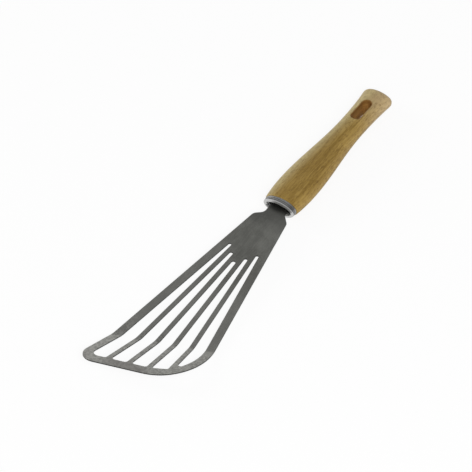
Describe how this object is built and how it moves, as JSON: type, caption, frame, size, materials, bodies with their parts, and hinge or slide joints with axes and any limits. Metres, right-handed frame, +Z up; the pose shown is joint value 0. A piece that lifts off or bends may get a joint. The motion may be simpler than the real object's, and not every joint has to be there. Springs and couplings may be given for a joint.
{
  "type": "fish spatula",
  "caption": "Slotted fish spatula: a thin fan of bars with a slanted, turned-up tip, a narrow neck, an oval ferrule and a flared wooden handle with a hanging slot.",
  "frame": {"origin": "middle of the box round the part, on the surface that the part rests on", "axes": "+X along the handle from the blade's tip to the butt, +Z up out of the blade's food side, +Y towards the side of the tip's sharper corner"},
  "size_m": [0.3365, 0.0762, 0.0175],
  "materials": {
    "blade_steel": "satin, dark grey",
    "ferrule_metal": "turned bright",
    "handle_wood": "waxed beech",
    "resin": "cured resin, hidden"
  },
  "bodies": {
    "root": {"blade": "blade_steel", "ferrule": "ferrule_metal", "handle": "handle_wood", "tang_resin": "resin"}
  },
  "joints": []
}
